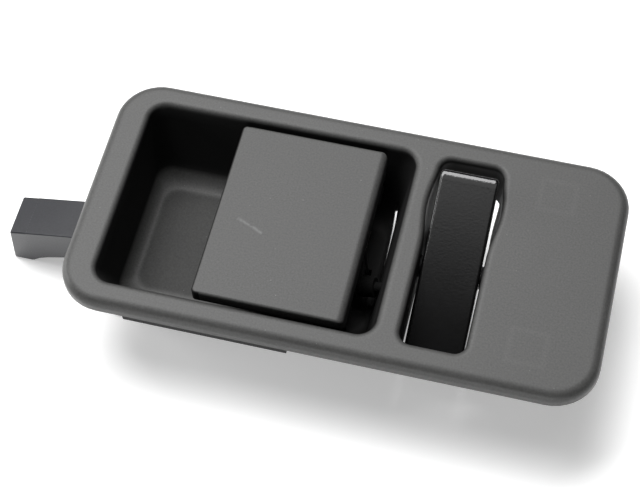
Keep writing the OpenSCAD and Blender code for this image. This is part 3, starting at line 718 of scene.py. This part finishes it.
def bezel_shell(bm):
    c = CHAMFER
    outside = [outer_loop(-RIM_T, PLATE_Z), outer_loop(-RIM_T, c), outer_loop(-RIM_T + c, 0),
               outer_loop(-c, 0), outer_loop(0, c), outer_loop(0, FACE_Z - EDGE_R - 0.2)]
    outside += [outer_loop(-EDGE_R * (1 - math.cos(a)), FACE_Z - EDGE_R * (1 - math.sin(a)))
                for a in quarter(12)]
    outside.append(outer_loop(-EDGE_R - 0.6, FACE_Z))
    rim_back, face_out = chain(bm, outside)

    face_cup, floor = chain(bm, over_edge(mouth_loop, MOUTH_EDGE) + cup_loops(0)[1:])
    fill(bm, floor)
    shell = cup_loops(CUP_WALL)
    shell[0] = mouth_loop(CUP_WALL, PLATE_Z)
    cup_back, under = chain(bm, shell)
    fill(bm, under)

    bends = [PLATE_Z - BEND_STEP * k for k in range(BEND_LOOPS)]
    well = over_edge(well_loop, WELL_EDGE) + [well_loop(0, z) for z in bends]
    well += [well_loop(0, WELL_Z + c), well_loop(c, WELL_Z), well_loop(WELL_WALL - c, WELL_Z),
             well_loop(WELL_WALL, WELL_Z + c)]
    well += [well_loop(WELL_WALL, z) for z in reversed(bends)]
    face_well, well_back = chain(bm, well)
    fill(bm, face_out, face_cup, face_well)
    fill(bm, rim_back, cup_back, well_back)


def hinge_bosses(bm):
    """Bosses inside the cup's long walls, from just clear of the washers."""
    r, outer, c = HINGE_BOSS
    inner = washer_hi.y + 0.1
    for side in (-1, 1):
        loops = [circle_loop(0, 0, r - c, side * inner), circle_loop(0, 0, r, side * (inner + c)),
                 circle_loop(0, 0, r, side * outer)]
        first, last = chain(bm, [turn_along_y(pts, *HINGE) for pts in loops])
        cap_off(bm, first)
        cap_off(bm, last)


def boss(bm, x, y, r, bore, low):
    """Round boss under the face plate, with a bore."""
    top = PLATE_Z + JOIN
    loops = [circle_loop(x, y, r, top), circle_loop(x, y, r, low + CHAMFER),
             circle_loop(x, y, r - CHAMFER, low),
             circle_loop(x, y, bore, low), circle_loop(x, y, bore, top)]
    chain(bm, loops, closed=True)


def tower(bm, x, y, half, wall, low):
    """Square tower under the face plate for a spring clip."""
    top = PLATE_Z + JOIN

    def ring(h, z):
        return rect_loop((x - h, x + h, y - h, y + h), 0.8, z)
    chain(bm, [ring(half, top), ring(half, low + CHAMFER), ring(half - CHAMFER, low),
               ring(half - wall, low), ring(half - wall, top)], closed=True)


def bezel_back(bm):
    """Bosses, towers and ribs behind the face."""
    insert_in, insert_r, insert_bore, insert_foot = INSERT_BOSS
    screw_in, screw_r, screw_bore, screw_foot = SCREW_BOSS
    half, wall, tower_foot = TOWER[1:]
    rib_end_x, rib_end_y = bezel_hi.x - 2, bezel_hi.y - 2
    top = PLATE_Z + JOIN
    for side in (-1, 1):
        for x in (insert_in - insert_hi.x, insert_hi.x - insert_in):
            boss(bm, x, side * (insert_hi.y - insert_in), insert_r, insert_bore,
                 insert_lo.z + insert_foot)
        for x in (screw_lo.x + screw_in, screw_hi.x - screw_in):
            boss(bm, x, side * (screw_hi.y - screw_in), screw_r, screw_bore,
                 screw_lo.z + screw_foot)
        tower(bm, TOWER_X, side * TOWER_Y, half, wall, clip_lo.z + tower_foot)
        rib_y = side * SIDE_RIB_Y
        add_box(bm, (RIB_START, rib_y - RIB_HALF, 0), (rib_end_x, rib_y + RIB_HALF, top))
    add_box(bm, (CROSS_RIB_X - RIB_HALF, -rib_end_y, 0), (CROSS_RIB_X + RIB_HALF, rib_end_y, top))


def well_baffle(bm):
    """Ledge low on the well's left wall that shuts the gap beside the key's raised end."""
    start_y, thick = BAFFLE
    low = WELL_Z + 0.2
    add_box(bm, (WELL_X - WELL_HALF[0] - BULGE[2] - 0.5, start_y, low),
            (key_lo.x - 0.15, WELL_HALF[1] + 0.4, low + thick))


def detent_bracket(bm):
    """Step on the well's left wall that carries the detent spring's screwed end."""
    under_pin, thick, length, half = BRACKET
    left = WELL_X - WELL_HALF[0] - BULGE[2] - 0.3
    top = (key_pin_lo.z + key_pin_hi.z) / 2 - under_pin
    add_box(bm, (left, detent_hi.y - length, top - thick),
            ((detent_lo.x + detent_hi.x) / 2 + half, detent_hi.y + 0.3, top))


def build_bezel():
    bm = bmesh.new()
    bezel_shell(bm)
    obj = new_object("bezel_shell", bm)
    crank_y = (bar_lo.y + bar_hi.y) / 2
    below = CUP_FLOOR - 5
    foot = spring_route()[0] + Vector((HINGE[0], 0, HINGE[1]))
    drain = [(DRAIN_X[1] - DRAIN_TIP, DRAIN_Y[0]), (DRAIN_X[1], DRAIN_Y[0]),
             (DRAIN_X[1], DRAIN_Y[1]), (DRAIN_X[0], DRAIN_Y[1])]
    crank_slot = box_shape((CRANK_SLOT[0], crank_y - CRANK_SLOT[2], below),
                           (CRANK_SLOT[1], crank_y + CRANK_SLOT[2], CUP_FLOOR + 4))
    foot_hole = box_shape((foot.x - FOOT_HOLE, foot.y - FOOT_HOLE, below),
                          (foot.x + FOOT_HOLE, foot.y + FOOT_HOLE, CUP_FLOOR + 2))
    cut_shapes(obj, [crank_slot, wedge_shape(drain, below, CUP_FLOOR + 13), foot_hole])
    bm = bmesh.new()
    bm.from_mesh(obj.data)
    hinge_bosses(bm)
    bezel_back(bm)
    detent_bracket(bm)
    well_baffle(bm)
    bpy.data.objects.remove(obj)
    obj = new_object("bezel_moulding", bm)
    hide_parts("bezel")
    return finish_piece(obj, "root", "bezel_plastic")


# ---------------------------------------------------------------- paddle and rocker
def build_paddle():
    """Flush slab with a rolled right edge, hollow behind."""
    x0, x1, y0, y1 = cap_lo.x, cap_hi.x, cap_lo.y, cap_hi.y
    top, roll, small, corner = cap_hi.z, PADDLE_ROLL, PADDLE_EDGE, PADDLE_CORNER
    left_wall, right_wall, side_wall, plate = PADDLE_POCKET

    def edge(a, extra=0.0):
        """Loop on the rolled edges, from the upright side at 0 to the flat face at 90 degrees."""
        c, s = 1 - math.cos(a), 1 - math.sin(a)
        small_in = small * c + extra
        rect = (x0 + small_in, x1 - roll * c - extra, y0 + small_in, y1 - small_in)
        return rect_loop(rect, max(corner - small * c, 0.5),
                         lambda share: top - (small + (roll - small) * share) * s, 6)

    def level(inset, z):
        rect = (x0 + inset, x1 - inset, y0 + inset, y1 - inset)
        return rect_loop(rect, max(corner - inset, 0.5), z, 6)

    def sides(inset, z):
        """The two long sides lean in towards the back."""
        most, start_z, over = PADDLE_LEAN
        lean = inset + most * (start_z - z) / over
        return rect_loop((x0 + inset, x1 - inset, y0 + lean, y1 - lean), max(corner - lean, 0.5), z, 6)

    arc = quarter(ARC)
    outside = [edge(arc[-1], 0.5)] + [edge(a) for a in reversed(arc)]
    outside += [level(0, 3.0), sides(0, PADDLE_BACK + CHAMFER), sides(CHAMFER, PADDLE_BACK)]
    pocket = (x0 + left_wall, x1 - right_wall, y0 + side_wall, y1 - side_wall)
    inner = [rect_loop(pocket, 0.6, z, 6) for z in (PADDLE_BACK, top - plate)]
    bm = bmesh.new()
    face, back = chain(bm, outside + inner)
    fill(bm, face)
    fill(bm, back)
    thick, inset, end_inset, left_low = LIP
    near, far, high = y0 + end_inset, y1 - end_inset, 2
    add_box(bm, (x1 - thick, near, cap_lo.z), (x1 - inset, far, high))
    add_box(bm, (x0 + inset, near, left_low), (x0 + thick, far, high))
    obj = new_object("paddle_face", bm)
    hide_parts("paddle_cap")
    return finish_piece(obj, "paddle", "paddle_plastic")


def build_rocker():
    """Key with rolled edges, as it is stored, tilted about its pin."""
    axis = Vector((WELL_X, (key_pin_lo.y + key_pin_hi.y) / 2, (key_pin_lo.z + key_pin_hi.z) / 2))
    half_w = (key_hi.x - key_lo.x) / 2
    end_run, end_drop = KEY_END

    def edge(a, extra=0.0):
        """Loop on the rolled edges, from the upright side at 0 to the flat face at 90 degrees."""
        c, s = 1 - math.cos(a), 1 - math.sin(a)
        w, l = half_w - KEY_SIDE_R * c - extra, KEY_HALF_L - end_run * c - extra

        def height(share):
            return KEY_TOP - (KEY_SIDE_R * share + end_drop * (1 - share)) * s
        return symmetric(w, l, max(KEY_CORNER - KEY_SIDE_R * c, 0.6), height)

    def level(inset, r, z):
        return symmetric(half_w - inset, KEY_HALF_L - inset, r, lambda share: z)

    def symmetric(w, l, r, height):
        """Loop of half widths w and l, with a height for each share of facing sideways."""
        pts = rect_loop((-w, w, -l, l), r, 0, 12)
        out = []
        for x, y in (pt[:2] for pt in pts):
            across = min(max((abs(x) - (w - r)) / r, 0), 1)
            along = min(max((abs(y) - (l - r)) / r, 0), 1)
            share = across / (across + along) if across + along > 0 else 1
            out.append((x, y, height(share)))
        return out

    arc = quarter(ARC)
    outside = [edge(arc[-1], 0.6)] + [edge(a) for a in reversed(arc)]
    outside += [level(0, KEY_CORNER, 0.4), level(0.4, KEY_CORNER - 0.4, 0.0),
                level(KEY_WALL, 0.8, 0.0), level(KEY_WALL, 0.8, KEY_HOLLOW)]
    bm = bmesh.new()
    face, back = chain(bm, outside)
    fill(bm, face)
    fill(bm, back)
    angles = [math.tau * k / 32 for k in range(32)]
    hub = ((half_w - KEY_WALL, KEY_HUB_R), (half_w - CHAMFER, KEY_HUB_R), (half_w, KEY_HUB_R - CHAMFER))
    for side in (-1, 1):
        rings = [[(side * x, r * math.cos(a), r * math.sin(a)) for a in angles] for x, r in hub]
        first, last = chain(bm, rings)
        cap_off(bm, first)
        cap_off(bm, last)
    turn = Matrix.Translation(axis * MM) @ Matrix.Rotation(math.radians(KEY_TILT), 4, "X")
    bmesh.ops.transform(bm, matrix=turn, verts=bm.verts)
    obj = new_object("rocker_key", bm)
    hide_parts("rocker")
    return finish_piece(obj, "rocker", "key_plastic")


# ---------------------------------------------------------------- closing spring
def build_spring():
    """Round wire wound about the hinge pin, from the cup's floor to the paddle."""
    route = spring_route()
    curve = bpy.data.curves.new("wire", "CURVE")
    curve.dimensions = "3D"
    curve.bevel_depth = WIRE_R * MM
    curve.bevel_resolution = 3
    curve.use_fill_caps = True
    line = curve.splines.new("POLY")
    line.points.add(len(route) - 1)
    for point, place in zip(line.points, route):
        world = (place + Vector((HINGE[0], 0, HINGE[1]))) * MM
        point.co = (*world, 1)
    wire = bpy.data.objects.new("wire", curve)
    bpy.context.scene.collection.objects.link(wire)
    mesh = bpy.data.meshes.new_from_object(wire.evaluated_get(bpy.context.evaluated_depsgraph_get()))
    bpy.data.objects.remove(wire)
    obj = bpy.data.objects.new("closing_spring", mesh)
    bpy.context.scene.collection.objects.link(obj)
    smooth(obj, 60)
    obj.data.materials.clear()
    obj.data.materials.append(MATERIALS["spring_steel"])
    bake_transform(obj)
    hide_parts("paddle_spring")
    return obj


# ---------------------------------------------------------------- stage, light and camera
LIGHT_AWAY = 1.2                # metres
CAMERA_PLACE = (71.5, -282.8, 494.0)
CAMERA_BACK = (0.13995857, -0.4853767, 0.86303016)      # out of the picture
CAMERA_UP = (-0.19492894, 0.84104534, 0.50462407)       # up in the picture
FOCAL_LENGTH = 92.94


def build_stage():
    bm = bmesh.new()
    bmesh.ops.create_grid(bm, x_segments=8, y_segments=8, size=3)
    obj = new_object("floor", bm)
    obj.location.z = cad_bounds[0][2] - 0.0001
    mat, nodes, links, shader, place = node_material("paper")
    tone = ramp(nodes, links, noise(nodes, links, place, 6, 2), [(0.2, grey(0.82)), (0.8, grey(0.84))])
    links.new(tone, shader.inputs["Base Color"])
    links.new(tone, shader.inputs["Emission Color"])
    shader.inputs["Emission Strength"].default_value = 0.47
    shader.inputs["Roughness"].default_value = 0.9
    shader.inputs["Specular IOR Level"].default_value = 0.1
    obj.data.materials.append(mat)


def area_light(name, azimuth, elevation, size, watts):
    """A soft light aimed at the object's middle; azimuth 0 is +X and 90 is +Y, behind the object.
    Its size is in metres."""
    data = bpy.data.lights.new(name, "AREA")
    data.shape = "RECTANGLE"
    data.size, data.size_y = size
    data.energy = watts
    obj = bpy.data.objects.new(name, data)
    turn, lift = math.radians(azimuth), math.radians(elevation)
    way = Vector((math.cos(turn) * math.cos(lift), math.sin(turn) * math.cos(lift), math.sin(lift)))
    obj.location = way * LIGHT_AWAY
    obj.rotation_euler = (-way).to_track_quat("-Z", "Y").to_euler()
    bpy.context.scene.collection.objects.link(obj)


def build_light():
    world = bpy.data.worlds.new("studio")
    world.use_nodes = True
    world.node_tree.nodes["Background"].inputs["Color"].default_value = (0.95, 0.98, 1, 1)
    world.node_tree.nodes["Background"].inputs["Strength"].default_value = 0.03
    bpy.context.scene.world = world
    area_light("softbox", 132, 62, (1.1, 0.68), 25.5)
    area_light("near fill", -84, 2.6, (1.3, 0.08), 4.5)
    area_light("top", 90, 85, (0.9, 0.56), 1.9)
    area_light("left fill", 178, 14, (0.7, 0.4), 6)


def build_camera():
    """Looks down on the near side, a little from the right."""
    data = bpy.data.cameras.new("camera")
    data.sensor_width = 36
    data.lens = FOCAL_LENGTH
    data.clip_start = 0.01
    obj = bpy.data.objects.new("camera", data)
    back = Vector(CAMERA_BACK).normalized()
    up = Vector(CAMERA_UP)
    up = (up - back * up.dot(back)).normalized()
    right = up.cross(back)
    turn = Matrix((right, up, back)).transposed().to_4x4()
    obj.matrix_world = Matrix.Translation(Vector(CAMERA_PLACE) * MM) @ turn
    bpy.context.scene.collection.objects.link(obj)
    bpy.context.scene.camera = obj


def build_small_parts():
    """CAD nodes with rounded edges, and the rest as they are, each with its own finish."""
    joint_x = end_cap_hi.x
    eased_nodes = {"release_bar": (1.4, joint_x), "bar_end_cap": (1.4, joint_x), "carrier": (0.25, None),
                   "paddle_core": (0.3, None), "lock_lever": (0.25, None)}
    slot_of = {row["node"]: row["material_slot"] for row in frame["record"]["subparts"]}
    body_of = {n: body for body, nodes in frame["record"]["behaviour"]["bodies"].items() for n in nodes}
    for name, obj in cad.items():
        obj.data.materials.clear()
        obj.data.materials.append(MATERIALS[slot_of[name]])
        if name in eased_nodes:
            finish_piece(eased(name, *eased_nodes[name]), body_of[name], slot_of[name])


build_camera()
build_stage()
build_light()
build_bezel()
build_paddle()
build_rocker()
build_spring()
build_small_parts()
bpy.context.scene.view_settings.view_transform = "Standard"

bpy.context.view_layer.update()
